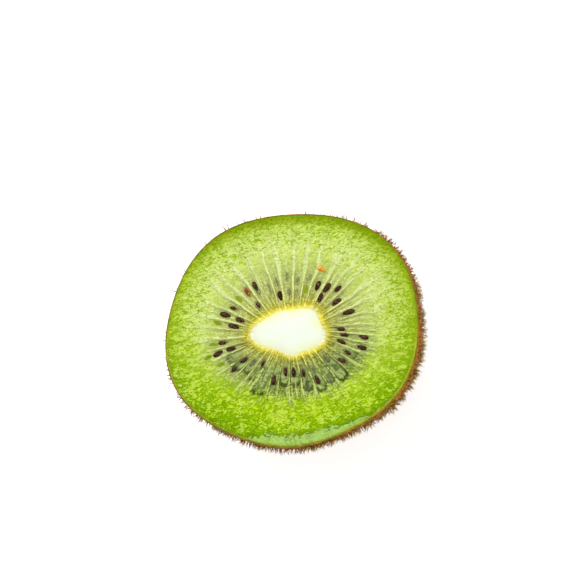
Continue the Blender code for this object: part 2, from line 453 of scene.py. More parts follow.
# %% Core body
CORE_ROWS = 10
CORE_FACE_ROWS = 26
CORE_REACH = 1.5 * CORE_GAP
CORE_DIP = 0.06 * MM  # the core's edge dips this far into the flesh
CORE_DIP_SPAN = (0.8, 1.0)  # of its width

rings = [ring(core_point(turns, 0.0, 0.0), HALF_HEIGHT - CORE_DEPTH, locules, -1.0)]
for step in range(1, CORE_ROWS):
    climb = step / CORE_ROWS
    plan = core_point(turns, 0.0, core_width(climb))
    rings.append(ring(plan, HALF_HEIGHT - CORE_DEPTH * (1.0 - climb), locules, 0.0))
for width in np.linspace(1.0, 0.0, CORE_FACE_ROWS + 1):
    plan = core_point(turns, CORE_REACH * width, width)
    crown = CORE_CROWN * (1.0 - width**2) - CORE_DIP * smooth_step(width, *CORE_DIP_SPAN)
    rings.append(ring(plan, HALF_HEIGHT + crown, crowded(locules), width - 1.0))
core = rolled("core_body", rings)

# %% [markdown]
# The skin.
#
# The skin is a thin leathery shell, cut off cleanly with the fruit. The outer face is rolled first,
# from the cut to the middle of the blossom end, where the dry remains of the flower leave a small
# puckered scar.

# %% Skin shell
SKIN_COLUMNS = 420
SKIN_ROWS = 96
SPOT_ROWS = 20
SCAR_RADIUS = 2.6 * MM
SCAR_DEPTH = 0.5 * MM
SCAR_PUCKERS = 9
PUCKER_SHARE = 0.6  # of the scar's depth
SPOT_SHARE = 0.1  # what the map adds from the edge of the rest spot to its middle

skin_locules = np.linspace(0.0, LOCULES, SKIN_COLUMNS + 1)
skin_turns = turn_of(skin_locules)
rings = []
for along, radius, height in skin_profile(SKIN_ROWS):
    top = height - RIM_DROP if along == 0.0 else height
    rings.append(ring(rim_point(skin_turns, radius, along), top, skin_locules, along))
spot = rim_point(skin_turns, REST_RADIUS, 1.0)
for inwards in np.linspace(1.0 - 1.0 / SPOT_ROWS, 0.0, SPOT_ROWS):
    from_middle = inwards * REST_RADIUS
    pucker = 0.5 + 0.5 * np.cos(SCAR_PUCKERS * skin_turns + 3.0 * inwards)
    pit = SCAR_DEPTH * (1.0 - smooth_step(from_middle, 0.3 * SCAR_RADIUS, SCAR_RADIUS))
    edge = smooth_step(from_middle, 0.0, 0.4 * SCAR_RADIUS)
    top = pit * (1.0 - PUCKER_SHARE * pucker * edge)
    rings.append(ring(spot * inwards, top, skin_locules, 1.0 + SPOT_SHARE * (1.0 - inwards)))
skin = rolled("skin", rings)

# %% [markdown]
# Clouds of two sizes make the skin leathery, and a solidify modifier gives the sheet its thickness
# inwards, which also makes the thin brown line that frames the cut. An open sheet has no inside, so
# its faces are first made to point away from the middle of the fruit.

# %% Thickness and leathery relief of the skin
LEATHER_RELIEF = ((1.6 * MM, 0.18 * MM), (7.0 * MM, 0.5 * MM))
LEATHER_SPAN = (0.3 * MM, 3.0 * MM, 32.0 * MM, 32.6 * MM)  # heights: starts, is full, fades and ends

middle = Vector((0.0, 0.0, 0.5 * HALF_HEIGHT))
inward = sum(face.normal.dot(face.center - middle) < 0.0 for face in skin.data.polygons)
if inward > len(skin.data.polygons) / 2:
    pick(skin)
    with editing():
        bpy.ops.mesh.flip_normals()
print("the skin had", inward, "of", len(skin.data.polygons), "faces pointing in")

weigh(skin, "free_skin", plateau(vertex_places(skin)[:, 2], *LEATHER_SPAN))
cloud_relief(skin, LEATHER_RELIEF, "free_skin", "NORMAL")
add_modifier(skin, "SOLIDIFY", thickness=SKIN_THICKNESS, offset=-1.0)
print("the skin has", len(skin.data.polygons), "faces with its inner wall")

# %% [markdown]
# The seeds.
#
# Some seeds lie open on the cut, some are half buried, and others are still under the wet flesh and
# only shade it. All of them keep to the chambers. They are laid out in rows: each row has its share of
# the way to the rim, and a letter for each chamber: s for a seed, p for one that is partly buried, u
# for one under the surface, b for a brown unripe one and g for a green pocket of juice without a seed.
# A seeded draw then moves every seed a little, so that none is in line.

# %% Places of the seeds
SEED_ROWS = (
    (0.145, ".....s....s..p........................"),
    (0.165, "........u.......................u....p"),
    (0.185, ".......g.u......s.......p..ps......s.."),
    (0.21, ".......................u.....p......p."),
    (0.225, "...s.............s....p.......u......."),
    (0.245, ".p....s..............................."),
    (0.268, ".....s.....uu.......s................."),
    (0.29, ".s......u.u.....................upp..."),
    (0.31, "....p..u.......p.........us..........."),
    (0.335, ".........u..sbg....p.u.......us......."),
    (0.365, "................s.....p........u......"),
    (0.42, ".................g..s..............ss."),
    (0.445, "...................g.g................"),
    (0.54, "....................g................."),
)
SEED_SCATTER_WAY = 0.005
SEED_SCATTER_SIDE = 0.08
SEED_SCATTER_TURN = 14.0
SCATTER_DRAW = 7
SEED_LENGTH = 2.3 * MM
SEED_WIDTH = 1.05 * MM
SEED_THICKNESS = 0.85 * MM
SEED_LIFT = 0.06 * MM
PART_SINK = 0.32 * MM  # how much deeper a partly buried seed lies


def seed_places(kinds):
    """(kind, middle, heading) of each seed whose letter is one of kinds."""
    draw = random.Random(SCATTER_DRAW)
    found = []
    for share, letters in SEED_ROWS:
        for chamber, letter in enumerate(letters):
            out = share + draw.uniform(-SEED_SCATTER_WAY, SEED_SCATTER_WAY)
            turn = turn_of(chamber + 0.5 + draw.uniform(-SEED_SCATTER_SIDE, SEED_SCATTER_SIDE))
            spin = math.radians(draw.uniform(-SEED_SCATTER_TURN, SEED_SCATTER_TURN))
            if letter in kinds:
                place = face_point(out, turn)
                along = place - core_point(turn)
                lift = SEED_LIFT - chamber_depth(0.5, out) - (PART_SINK if letter == "p" else 0.0)
                middle = Vector((*(place + SHIFT), HALF_HEIGHT + float(lift)))
                found.append((letter, middle, math.atan2(along[1], along[0]) + spin))
    return found


print(len(seed_places("sp")), "seeds lie open and", len(seed_places("u")), "lie under the surface")

# %% [markdown]
# One seed is a sphere that is drawn out, flattened and pinched towards the core by a taper, and every
# other seed is a copy of it with its own size and turn. The copies are joined into one piece.

# %% One seed, then all of them
SEED_PINCH = 0.45
SIZE_SPREAD = 0.1
SEED_TIPS = (("Y", 0.14), ("X", 0.3))  # the most, in radians, that a seed is tipped and rolled


def one_seed():
    pick()
    bpy.ops.mesh.primitive_uv_sphere_add(segments=20, ring_count=14, radius=0.5)
    with editing():
        bpy.ops.transform.rotate(value=math.pi / 2.0, orient_axis="Y", center_override=(0.0, 0.0, 0.0))
        bpy.ops.transform.resize(value=(SEED_LENGTH, SEED_WIDTH, SEED_THICKNESS))
    seed = named("one_seed")
    add_modifier(seed, "SIMPLE_DEFORM", deform_method="TAPER", deform_axis="X", factor=SEED_PINCH)
    bpy.ops.object.shade_smooth()
    return seed


def lay_seeds(name, kinds, seed_of_draw):
    model = one_seed()
    draw = random.Random(seed_of_draw)
    copies = []
    for _, middle, heading in seed_places(kinds):
        copies.append(in_scene(f"{name}_copy", model.data.copy()))
        size = 1.0 + draw.uniform(-SIZE_SPREAD, SIZE_SPREAD)
        turned = Matrix.Rotation(heading, 4, "Z")
        for axis, spread in SEED_TIPS:
            turned = turned @ Matrix.Rotation(draw.uniform(-spread, spread), 4, axis)
        copies[-1].data.transform(Matrix.Translation(middle) @ turned @ Matrix.Scale(size, 4))
    bpy.data.objects.remove(model)
    pick(*copies)
    if len(copies) > 1:
        bpy.ops.object.join()
    return named(name)


seeds = lay_seeds("seeds", "sp", 11)
brown_seed = lay_seeds("unripe_seed", "b", 12)
print("the seeds have", len(seeds.data.polygons), "faces")

# %% [markdown]
# The seeds under the surface are painted into the flesh. Each point of the flesh gets a number,
# sunken, that is 1 over the middle of a hidden seed and fades past its edge, and a softer one, jelly,
# that is high in the clear wet flesh round every seed, whose grey tint is partly painted shade. A third
# one, pocket, is 1 in the few pockets of green juice. The material reads all three.

# %% Shades of the hidden seeds
HIDDEN_SIZE = 0.85
HIDDEN_EDGE = (0.7, 1.35)  # where a shade starts to fade and where it ends, 1 at the seed's outline
HIDDEN_SHADES = (0.6, 1.0)  # how strongly seeds under the surface shade the flesh
BURIED_EDGE = (0.7, 1.4)
BURIED_SHADE = 0.8  # the same for a partly buried seed
JELLY_START = 0.6
JELLY_REACH = 1.9 * MM


def paint(piece, name, values):
    layer = piece.data.attributes.new(name, "FLOAT", "POINT")
    layer.data.foreach_set("value", np.asarray(values, np.float32))


def seed_distance(middle, heading):
    """1 at the outline of a seed in plan, less inside it, for each point of the flesh."""
    plan = flesh_places[:, :2] - np.array(middle[:2])
    along = plan @ np.array([math.cos(heading), math.sin(heading)])
    aside = plan @ np.array([-math.sin(heading), math.cos(heading)])
    return np.hypot(along / (0.5 * SEED_LENGTH), aside / (0.5 * SEED_WIDTH))


def shade(name, strength):
    shades[name] = np.maximum(shades[name], strength * on_face)


flesh_places = vertex_places(flesh)
shades = {name: np.zeros(len(flesh_places)) for name in ("sunken", "jelly", "pocket")}
depth_draw = random.Random(21)
for kind, middle, heading in seed_places("spubg"):
    distance = seed_distance(middle, heading)
    inside = 1.0 - smooth_step(distance / HIDDEN_SIZE, *HIDDEN_EDGE)
    if kind == "g":
        shade("pocket", inside)
        continue
    shade("jelly", np.exp(-(((distance - JELLY_START).clip(0.0) * SEED_WIDTH / JELLY_REACH) ** 2)))
    if kind == "u":
        shade("sunken", depth_draw.uniform(*HIDDEN_SHADES) * inside)
    elif kind == "p":
        shade("sunken", BURIED_SHADE * (1.0 - smooth_step(distance, *BURIED_EDGE)))
for name, values in shades.items():
    paint(flesh, name, values)
    print(name, "is painted on", int((values > 0.5).sum()), "points")

# %% [markdown]
# Along the lower rim, juice has gathered in a smooth wet band with a wavy inner edge. Its field is
# kept as another number, the distance from the inner edge, and the material breaks the edge up.

# %% Wet band along the rim
BAND_MIDDLE = math.radians(280.0) - LONG_DIRECTION
BAND_INNER = 0.87
BAND_LEFT_END = (math.radians(17.0), math.radians(40.0))
BAND_RIGHT_END = (math.radians(2.0), math.radians(56.0))


def turned_from(angle, middle):
    """The turn from middle to angle, from minus half a turn to half a turn."""
    return (angle - middle + math.pi) % math.tau - math.pi


angle = np.arctan2(flesh_places[:, 1] - SHIFT[1], flesh_places[:, 0] - SHIFT[0])
to_right = turned_from(angle, BAND_MIDDLE)
fading = np.maximum(smooth_step(-to_right, *BAND_LEFT_END), smooth_step(to_right, *BAND_RIGHT_END))
inner_edge = BAND_INNER + (1.0 - BAND_INNER) * fading
band = np.where(on_face, flesh_shares - inner_edge, -1.0)
paint(flesh, "band", band)
print("the band covers", round(100 * (band > 0.0).sum() / on_face.sum(), 1), "% of the face's points")

# %% [markdown]
# The pale core is not as round as its column: it reaches out into the flesh at a few blunt corners.
# The number corner tells how much further it reaches there, as a share of the way to the rim.

# %% Corners of the core
# The direction of each corner in the picture, in degrees, and how far it reaches
CORE_CORNERS = ((184.0, 0.036), (-9.0, 0.032), (41.0, 0.022), (278.0, 0.017), (250.0, 0.021), (229.0, 0.015))
CORNER_WIDTH = math.radians(15.0)

for piece in (flesh, core):
    spots = vertex_places(piece)[:, :2] - SHIFT - np.array(CORE_CENTRE)
    towards = np.arctan2(spots[:, 1], spots[:, 0]) + LONG_DIRECTION
    reach = np.zeros(len(spots))
    for direction, far in CORE_CORNERS:
        reach += far * np.exp(-((turned_from(towards, math.radians(direction)) / CORNER_WIDTH) ** 2))
    paint(piece, "corner", reach)
    print("the corners of", piece.name, "reach", round(reach.max(), 3), "of the way to the rim")

# %% [markdown]
# A crumb of skin, torn off by the knife, lies on the upper part of the face. It is two small lumps: a
# sphere of triangles each, flattened, joined and roughened with a displace modifier.

# %% Crumb of skin
CRUMB_SHARE = 0.435
CRUMB_LOCULE = 6.83
CRUMB_LUMPS = ((0.0, 0.0, 0.66, 0.58, 0.42), (0.72, -0.6, 0.4, 0.3, 0.32))  # x, y and half sizes, mm
CRUMB_RELIEF = ((0.5 * MM, 0.35 * MM),)

crumb_spot = face_point(CRUMB_SHARE, turn_of(CRUMB_LOCULE)) + SHIFT
crumb_floor = HALF_HEIGHT - float(chamber_depth(CRUMB_LOCULE, CRUMB_SHARE))
lumps = []
for x, y, *half_sizes in CRUMB_LUMPS:
    pick()
    bpy.ops.mesh.primitive_ico_sphere_add(subdivisions=4, radius=1.0)
    lump = bpy.context.object
    spot = Vector((*crumb_spot, crumb_floor)) + Vector((x, y, 0.0)) * MM
    lump.data.transform(Matrix.LocRotScale(spot, None, Vector(half_sizes) * MM))
    lumps.append(lump)
pick(*lumps)
bpy.ops.object.join()
crumb = named("crumb")
cloud_relief(crumb, CRUMB_RELIEF, direction="NORMAL")
bpy.ops.object.shade_smooth()
print("the crumb is", [round(1000 * side, 1) for side in crumb.dimensions], "mm")

# %% [markdown]
# Fur and finishes are both made of nodes. One helper places a node, sets it up and feeds its sockets.
# A Value is an output of a node that can be reckoned with like a number: a sum of two places a Math
# node in their tree, and its other methods place the nodes that finishes are mostly made of, so that
# a finish reads like a recipe.

# %% Helpers for nodes
def feed(socket, source):
    """Sets a socket to a plain value, or links it to the output that feeds it."""
    source = source.socket if isinstance(source, Value) else source
    if isinstance(source, bpy.types.NodeSocket):
        socket.id_data.links.new(source, socket)
    else:
        socket.default_value = source


def feed_all(node, sources):
    """Feeds a node's sockets. sources pairs the name or the number of a socket with what feeds it."""
    for socket, source in dict(sources).items():
        feed(node.inputs[socket], source)


def add_node(tree, kind, sources=(), output=0, **settings):
    """The output of a new node, as a value."""
    node = set_up(tree.nodes.new(kind), **settings)
    feed_all(node, sources)
    return Value(node.outputs[output])


def reckon(operation, *terms):
    tree = next(term for term in terms if isinstance(term, Value)).tree
    return add_node(tree, "ShaderNodeMath", enumerate(terms), operation=operation)


class Value:
    def __init__(self, socket):
        self.socket = socket
        self.tree = socket.id_data

    def __add__(self, other):
        return reckon("ADD", self, other)

    def __sub__(self, other):
        return reckon("SUBTRACT", self, other)

    def __rsub__(self, other):
        return reckon("SUBTRACT", other, self)

    def __mul__(self, other):
        return reckon("MULTIPLY", self, other)

    def __truediv__(self, other):
        return reckon("DIVIDE", self, other)

    def __rtruediv__(self, other):
        return reckon("DIVIDE", other, self)

    def at_least(self, other):
        return reckon("MAXIMUM", self, other)

    def at_most(self, other):
        return reckon("MINIMUM", self, other)

    def between(self, start, end, low=0.0, high=1.0):
        """Goes softly from low to high as the value goes from start to end."""
        sources = enumerate((self, start, end, low, high))
        return add_node(self.tree, "ShaderNodeMapRange", sources, interpolation_type="SMOOTHSTEP")

    def blend(self, first, second):
        """The number first where the value is 0, and second where it is 1."""
        return add_node(self.tree, "ShaderNodeMix", {0: self, 2: first, 3: second})

    def mix(self, first, second, way="MIX"):
        """The colour first where the value is 0, and second, or first times second, where it is 1."""
        sources = {0: self, 6: first, 7: second}
        return add_node(self.tree, "ShaderNodeMix", sources, 2, data_type="RGBA", blend_type=way)

    def cloud(self, scale, detail=2.0, roughness=0.5, distortion=0.0):
        """A noise at this place."""
        sources = {"Scale": scale, "Detail": detail, "Roughness": roughness, "Distortion": distortion}
        return add_node(self.tree, "ShaderNodeTexNoise", {"Vector": self, **sources})

    def reach(self, way):
        """How far this place lies that way, in radii of the fruit."""
        sources = {0: self, 1: (*way / MEAN_RADIUS, 0.0)}
        return add_node(self.tree, "ShaderNodeVectorMath", sources, "Value", operation="DOT_PRODUCT")

    def scaled(self, size):
        """This place, measured in steps of a size."""
        return add_node(self.tree, "ShaderNodeVectorMath", {0: self, "Scale": 1.0 / size}, operation="SCALE")

    def bumps(self, depth):
        """The normal that this height gives to a surface."""
        return add_node(self.tree, "ShaderNodeBump", {"Height": self, "Distance": depth, "Strength": 1.0})


# %% [markdown]
# The fur.
#
# The skin is covered with short stiff hairs, up to two millimetres long, curled and leaning every
# way. A few hairs are modelled, each a thin three-sided cone that is extruded and bent in steps, and
# each point of a hair knows how near it is to the tip, which is lighter.

# %% A few single hairs
HAIR_LENGTH = 1.4 * MM
HAIR_RADIUS = 0.09 * MM
HAIR_STEPS = 3
HAIR_TAPER = 0.78
# The lean and the curl of each hair, in degrees
HAIR_BENDS = ((15.0, 10.0), (30.0, -25.0), (50.0, 35.0), (10.0, -50.0), (70.0, 5.0))


def single_hair(name, lean, curl):
    """A hair on the ground at the origin, which leans over by lean and curls sideways by curl."""
    pick()
    bpy.ops.mesh.primitive_circle_add(vertices=3, radius=HAIR_RADIUS, fill_type="NGON")
    hair = named(name)
    stride = HAIR_LENGTH / HAIR_STEPS
    with editing():
        for step in range(1, HAIR_STEPS + 1):
            over = math.radians(lean) * step / HAIR_STEPS
            aside = math.radians(curl) * (step - 1) / HAIR_STEPS
            straight = math.cos(aside)
            rise = Vector((math.sin(over) * straight, math.sin(aside), math.cos(over) * straight))
            bpy.ops.mesh.extrude_region_move(TRANSFORM_OT_translate={"value": rise * stride})
            bpy.ops.transform.resize(value=(HAIR_TAPER,) * 3)
        bpy.ops.mesh.merge(type="CENTER")
        bpy.ops.mesh.select_all(action="SELECT")
        bpy.ops.mesh.normals_make_consistent(inside=False)
    bpy.ops.object.shade_smooth()
    from_root = np.linalg.norm(vertex_places(hair), axis=1)
    paint(hair, "tip", from_root / from_root.max())
    return hair


def triangles(piece):
    piece.data.calc_loop_triangles()
    return len(piece.data.loop_triangles)


hairs = bpy.data.collections.new("hairs")
bpy.context.scene.collection.children.link(hairs)
for number, (lean, curl) in enumerate(HAIR_BENDS):
    hair = single_hair(f"hair_{number}", lean, curl)
    bpy.context.scene.collection.objects.unlink(hair)
    hairs.objects.link(hair)
    print(hair.name, "has", triangles(hair), "triangles")

# %% [markdown]
# The hairs stand in small tufts, closer along the cut, and are rubbed off on the upper left. A number,
# roots, tells how thick the fur is at each point of the skin's outer wall.

# %% Where the hairs grow
TUFT_SIZE = 1.1 * MM
TUFTED = (-0.05, 0.3)  # of the noise that makes the tufts
LEAST_FUR = 0.04  # between the tufts
CUT_FUR = 0.26  # what is added to it along the cut
CUT_SPAN = (HALF_HEIGHT - 5.0 * MM, HALF_HEIGHT - 2.0 * MM)
BARE_FOOT = (0.6 * MM, 2.5 * MM)
BARE_EDGE = HALF_HEIGHT - RIM_DROP - 0.05 * MM
RUBBED_SIDE = math.radians(135.0)
RUBBED_REACH = (-0.2, 0.8)  # in radii of the fruit, towards the rubbed side
RUBBED_SHARE = 0.1  # of the hairs that are left there


def outer_sheet(name):
    """A copy of the skin, with its roots painted on the outer wall."""
    sheet = in_scene(name, skin.data.copy())
    places = vertex_places(sheet)
    height = places[:, 2]
    outwards = places - np.array([0.0, 0.0, 0.6 * HALF_HEIGHT])
    faces_out = (read(sheet.data.vertices, "normal") * outwards).sum(1) > 0.0
    roots = smooth_step(height, *BARE_FOOT) * (height < BARE_EDGE) * faces_out
    towards_rubbed = places[:, :2] @ np.array(picture_way(RUBBED_SIDE)) / MEAN_RADIUS
    roots *= 1.0 - (1.0 - RUBBED_SHARE) * smooth_step(towards_rubbed, *RUBBED_REACH)
    tufts = smooth_step(np.array([noise.noise(Vector(place) / TUFT_SIZE) for place in places]), *TUFTED)
    least = LEAST_FUR + CUT_FUR * smooth_step(height, *CUT_SPAN)
    paint(sheet, "roots", roots * (least + (1.0 - least) * tufts))
    return sheet


# %% [markdown]
# Geometry nodes scatter copies of the hairs over that sheet, each tipped, turned and sized by a seeded
# draw. The copies are realized and applied, so that they are true meshes, and they are kept as a few
# pieces, each light enough to be handled alone.

# %% Scattering the hairs
FUR_PIECES = 3
HAIRS_PER_PIECE = 5600
HAIR_SIZES = (0.5, 1.35)
HAIR_TILT = 0.7  # radians, the most that a hair is tipped from upright
LOWEST_HAIR = 0.05 * MM


def fur_nodes(seed, density):
    """Geometry nodes that stand hairs on a sheet, as thickly as its roots say."""
    tree = bpy.data.node_groups.new(f"fur_{seed}", "GeometryNodeTree")
    for way in ("INPUT", "OUTPUT"):
        tree.interface.new_socket(name="Geometry", in_out=way, socket_type="NodeSocketGeometry")
    node = partial(add_node, tree)
    roots = node("GeometryNodeInputNamedAttribute", {"Name": "roots"}, "Attribute")
    where = {"Mesh": node("NodeGroupInput"), "Density": roots * density, "Seed": seed}
    points = node("GeometryNodeDistributePointsOnFaces", where, "Points", distribute_method="RANDOM")
    upright = Value(points.socket.node.outputs["Rotation"])
    pool = {"Collection": hairs, "Separate Children": True, "Reset Children": True}
    pool = node("GeometryNodeCollectionInfo", pool, "Instances")
    tip = {"Min": (-HAIR_TILT, -HAIR_TILT, 0.0), "Max": (HAIR_TILT, HAIR_TILT, math.tau), "Seed": seed + 1}
    tip = node("FunctionNodeRandomValue", tip, "Value", data_type="FLOAT_VECTOR")
    turn = {"Rotation": upright, "Rotate By": tip}
    turn = node("FunctionNodeRotateRotation", turn, rotation_space="LOCAL")
    size = {2: HAIR_SIZES[0], 3: HAIR_SIZES[1], "Seed": seed + 2}
    size = node("FunctionNodeRandomValue", size, 1, data_type="FLOAT")
    stand = {"Points": points, "Instance": pool, "Pick Instance": True, "Rotation": turn, "Scale": size}
    real = node("GeometryNodeRealizeInstances", {0: node("GeometryNodeInstanceOnPoints", stand)})
    feed(tree.nodes.new("NodeGroupOutput").inputs[0], real)
    return tree


skin_area = sum(face.area for face in skin.data.polygons) / 2.0
fur = []
for number in range(FUR_PIECES):
    coat = outer_sheet(f"fur_{number + 1}")
    add_modifier(coat, "NODES", node_group=fur_nodes(30 + 5 * number, HAIRS_PER_PIECE / skin_area))
    places = vertex_places(coat)
    places[:, 2] = np.maximum(places[:, 2], LOWEST_HAIR)
    set_places(coat, places)
    fur.append(coat)
    print(coat.name, "has", triangles(coat), "triangles")
for hair in list(hairs.objects):
    bpy.data.objects.remove(hair)
bpy.data.collections.remove(hairs)

# %% [markdown]
# Finishes.
#
# Colours are given as they look on a screen, from 0 to 255, and are turned into the linear values that
# light is reckoned in. An effect that several finishes share is a node group with named inputs and
# outputs, built once from a recipe.

# %% Helpers for finishes
def screen(red, green, blue):
    def linear(value):
        value = value / 255.0
        return value / 12.92 if value <= 0.04045 else ((value + 0.055) / 1.055) ** 2.4

    return (linear(red), linear(green), linear(blue), 1.0)


def ramp(value, stops):
    """Colours by value. stops is a list of (value, red, green, blue)."""
    colours = add_node(value.tree, "ShaderNodeValToRGB", {0: value})
    elements = colours.socket.node.color_ramp.elements
    while len(elements) < len(stops):
        elements.new(1.0)
    for element, (place, *colour) in zip(elements, stops):
        set_up(element, position=place, color=screen(*colour))
    return colours


def object_place(tree):
    return add_node(tree, "ShaderNodeTexCoord", output="Object")


def painted(tree, name):
    return add_node(tree, "ShaderNodeAttribute", output="Fac", attribute_name=name)


def map_numbers(tree):
    """The two numbers of the piece's own map."""
    chart = tree.nodes.new("ShaderNodeSeparateXYZ")
    feed(chart.inputs[0], add_node(tree, "ShaderNodeUVMap"))
    return Value(chart.outputs[0]), Value(chart.outputs[1])


def new_finish(name):
    material = bpy.data.materials.new(name)
    material.use_nodes = True
    return material, material.node_tree, material.node_tree.nodes["Principled BSDF"]


def wear(finish, *pieces):
    for piece in pieces:
        piece.data.materials.clear()
        piece.data.materials.append(finish)


def new_group(name, inputs, outputs, recipe):
    """A shader node group. The recipe is given the inputs and returns the outputs in their order."""
    tree = bpy.data.node_groups.new(name, "ShaderNodeTree")
    for way, sockets in (("INPUT", inputs), ("OUTPUT", outputs)):
        for label, kind in sockets.items():
            tree.interface.new_socket(name=label, in_out=way, socket_type=f"NodeSocket{kind}")
    given = tree.nodes.new("NodeGroupInput").outputs
    results = recipe(*(Value(given[label]) for label in inputs))
    feed_all(tree.nodes.new("NodeGroupOutput"), zip(outputs, results))
    print("the group", name, "has", len(tree.nodes), "nodes")
    return tree


def use_group(group, *sources):
    """The outputs of a group by their names. The first source is a value."""
    outputs = add_node(sources[0].tree, "ShaderNodeGroup", enumerate(sources), node_tree=group)
    return {socket.name: Value(socket) for socket in outputs.socket.node.outputs}


# %% [markdown]
# The rays are the same in the flesh and in the edge of the core, so they are a node group. It takes
# the two numbers of the map and gives how much a point belongs to a ray, and the fine fibres that
# run the same way. The fibres are a noise on a ring, which meets itself again after a full turn. The
# group also gives the lobes: the rounded outer ends of the chambers, each with a reach of its own.

# %% Rays of the cut
FIBRES_ROUND = 34.0
FIBRES_OUT = 7.0
FIBRES_STRAY = 1.6
STRANDS = 3.0  # thin lines for each chamber
STRAND_WIDTH = 0.3
LOBE_ENDS = (0.22, 0.44)
LOBE_ROUND = 0.09


def chance(whole, count):
    """A draw from 0 to 1 for each whole number, which comes round again after count."""
    wrapped = reckon("WRAP", whole, count, 0.0)
    return add_node(whole.tree, "ShaderNodeTexWhiteNoise", {"W": wrapped}, noise_dimensions="1D")


def line_at(count, width, slimmest):
    """Soft lines where count is a whole number; width and slimness differ from line to line."""
    drawn = chance(reckon("ROUND", count), LOCULES * STRANDS)
    reach = drawn.between(0.0, 1.0, slimmest, 1.0) * width
    return reckon("PINGPONG", count, 0.5).between(reach * 0.3, reach, 1.0, 0.0), drawn


def lobe_distance(locule, share):
    """0 in the middle of a chamber and 1 at its walls and at its rounded outer end."""
    aside = reckon("PINGPONG", locule, 0.5) * -2.0 + 1.0
    end = chance(reckon("FLOOR", locule), LOCULES).between(0.0, 1.0, *LOBE_ENDS)
    over = ((share - end) / LOBE_ROUND).at_least(0.0)
    return reckon("SQRT", over * over + aside * aside)


def ray_recipe(locule, share, width):
    ray, _ = line_at(locule, width, 0.45)
    turn = locule * (math.tau / LOCULES)
    spot = (reckon("COSINE", turn) * FIBRES_ROUND, reckon("SINE", turn) * FIBRES_ROUND, share * FIBRES_OUT)
    fibre = add_node(locule.tree, "ShaderNodeCombineXYZ", enumerate(spot)).cloud(1.0, 3.0, 0.6)
    strand, present = line_at(locule * STRANDS + ((fibre - 0.5) * FIBRES_STRAY + 0.4), STRAND_WIDTH, 0.4)
    return ray, strand * present.between(0.3, 0.7), fibre, lobe_distance(locule, share)


rays = new_group(
    "rays",
    {"Locule": "Float", "Share": "Float", "Width": "Float"},
    {"Ray": "Float", "Strand": "Float", "Fibre": "Float", "Lobe": "Float"},
    ray_recipe,
)

# %% [markdown]
# The wet grain is a group too. The knife has dragged the juice one way, so the grain is drawn out
# along that way, with a mapping node, and a distorted noise makes its small curly strokes.

# %% Wet grain
GRAIN_STRETCH = 1.75
GRAIN_DIRECTION = math.radians(14.0)


def grain_recipe(place, size):
    turn = (0.0, 0.0, GRAIN_DIRECTION - LONG_DIRECTION)
    drawn_out = {"Vector": place, "Rotation": turn, "Scale": (GRAIN_STRETCH, 1.0, 1.0)}
    along = add_node(place.tree, "ShaderNodeMapping", drawn_out, vector_type="TEXTURE").scaled(size)
    return along.cloud(1.0, 3.0, 0.62, 1.3), along.cloud(2.7, 2.0, 0.6, 0.6)


grain = new_group(
    "wet_grain", {"Place": "Vector", "Size": "Float"}, {"Grain": "Float", "Fine": "Float"}, grain_recipe
)

# %% [markdown]
# Finish of the flesh.
#
# Two colour ramps run from the core to the rim: one for the pale tissue of rays and dry cell walls,
# and one for the deep, juicy tissue between. Near the core the rays choose between them, and further
# out the wet grain does. The upper part of the face is paler, as painted light, and the lower part
# richer and darker, as painted shade. Hidden seeds tint the chambers grey, and the wet band covers the
# grain.

# %% Colours of the flesh
PALE_TISSUE = (
    (0.00, 252, 242, 118), (0.02, 250, 240, 104), (0.05, 236, 230, 100), (0.09, 232, 234, 136),
    (0.20, 228, 236, 150), (0.32, 226, 238, 150), (0.46, 230, 244, 162), (0.60, 236, 250, 170),
    (0.74, 226, 244, 142), (0.88, 212, 234, 108), (0.95, 196, 218, 66), (1.00, 176, 198, 40),
)
DEEP_TISSUE = (
    (0.00, 240, 228, 96), (0.022, 182, 170, 10), (0.05, 150, 144, 0), (0.09, 152, 150, 26),
    (0.20, 176, 180, 88), (0.34, 184, 194, 100), (0.48, 192, 212, 84), (0.60, 204, 226, 64),
    (0.74, 186, 214, 24), (0.86, 168, 202, 0), (0.94, 156, 188, 0), (1.00, 134, 158, 0),
)
# Painted shade: what the lower side, at the chambers and further out, keeps of red, green and blue
PALE_IN_PAINTED_SHADE = ((0.80, 0.84, 0.60, 1.0), (0.82, 0.94, 0.04, 1.0))
DEEP_IN_PAINTED_SHADE = ((0.17, 0.22, 0.03, 1.0), (0.46, 0.70, 0.0, 1.0))
TOP_RIM = (0.62, 0.64, 0.14, 1.0)
DARK_FIBRE = (0.56, 0.54, 0.30, 1.0)
DARK_SPECK = (0.50, 0.48, 0.34, 1.0)
PAINTED_FLANK_SHADE = (0.46, 0.46, 0.20, 1.0)
PAINTED_GLINT_COLOUR = screen(204, 232, 100)
FLECK_COLOUR = screen(148, 188, 14)
POCKET_COLOUR = screen(132, 156, 14)
SEED_TINT = screen(74, 64, 52)
JELLY_AND_SHADE_TINT = screen(140, 158, 112)
LOBE_COLOUR = screen(172, 194, 118)
LOBE_SHADE = screen(106, 130, 46)
LOBE_GAP_SHADOW = screen(48, 66, 0)
BAND_REFLECTION_COLOUR = screen(155, 192, 86)
BAND_REFLECTION_STREAKS = screen(178, 209, 116)
BAND_EDGE = screen(112, 152, 0)
RIM_LINE = screen(204, 214, 64)
CORE_WHITE = screen(242, 244, 208)
# the side of the face where the painted shade on the chambers is deepest
PAINTED_SHADE_SIDE = math.radians(285.0)  # where the chambers are darkest
GRAIN_SIZE = 0.57 * MM
CURD_SIZE = 1.0 * MM
PATCH_SIZE = 5.0 * MM
SPECK_SIZE = 0.3 * MM
